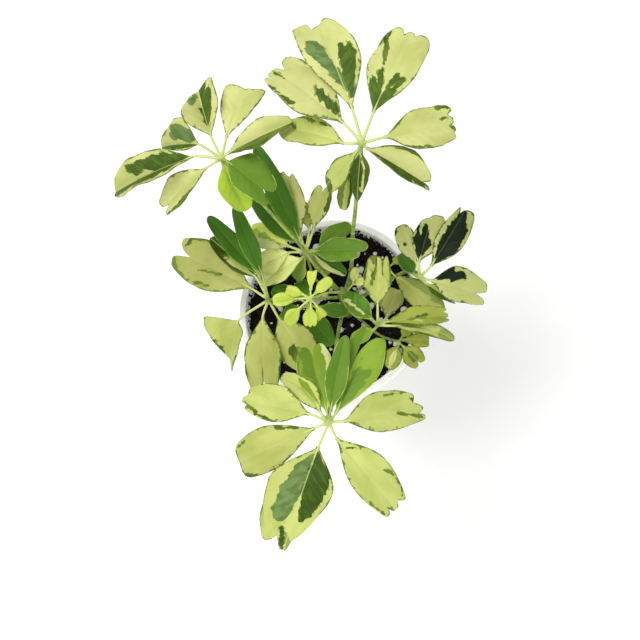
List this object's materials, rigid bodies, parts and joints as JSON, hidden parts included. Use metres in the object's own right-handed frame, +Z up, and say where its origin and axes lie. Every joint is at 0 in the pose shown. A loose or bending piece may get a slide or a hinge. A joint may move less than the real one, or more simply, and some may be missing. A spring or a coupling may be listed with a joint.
{
  "type": "potted umbrella plant",
  "caption": "Small variegated umbrella plant with fronds of radiating leaflets on long stalks, rooted in a round tapered nursery pot of soil.",
  "frame": {"origin": "centre of the pot's underside, on the surface it stands on", "axes": "+Z up the pot's axis; +Y towards the tall fronds at the back; -Y towards the frond that reaches to the front"},
  "size_m": [0.1761, 0.2394, 0.2091],
  "materials": {
    "pot_plastic": "thin off-white moulded plastic, satin, a little soil dust inside the lip",
    "potting_soil": "dark moist potting mix with white perlite grains",
    "stem": "smooth green young stem",
    "leaf_variegated": "waxy leaf, cream-lime with dark green patches",
    "leaf_young": "tender bright yellow-green leaf",
    "leaf_green": "waxy dark green leaf with a thin cream edge"
  },
  "bodies": {
    "root": {"pot": "pot_plastic", "soil": "potting_soil", "main_stem": "stem", "frond_back_right": "leaf_variegated", "frond_back_left": "leaf_variegated", "frond_front": "leaf_variegated", "frond_left": "leaf_variegated", "frond_middle": "leaf_variegated", "frond_young": "leaf_young", "frond_inner_green": "leaf_green", "frond_right_crumpled": "leaf_variegated", "frond_right_low": "leaf_variegated", "frond_right": "leaf_variegated", "frond_right_inner": "leaf_variegated", "bud": "leaf_young"}
  },
  "joints": []
}
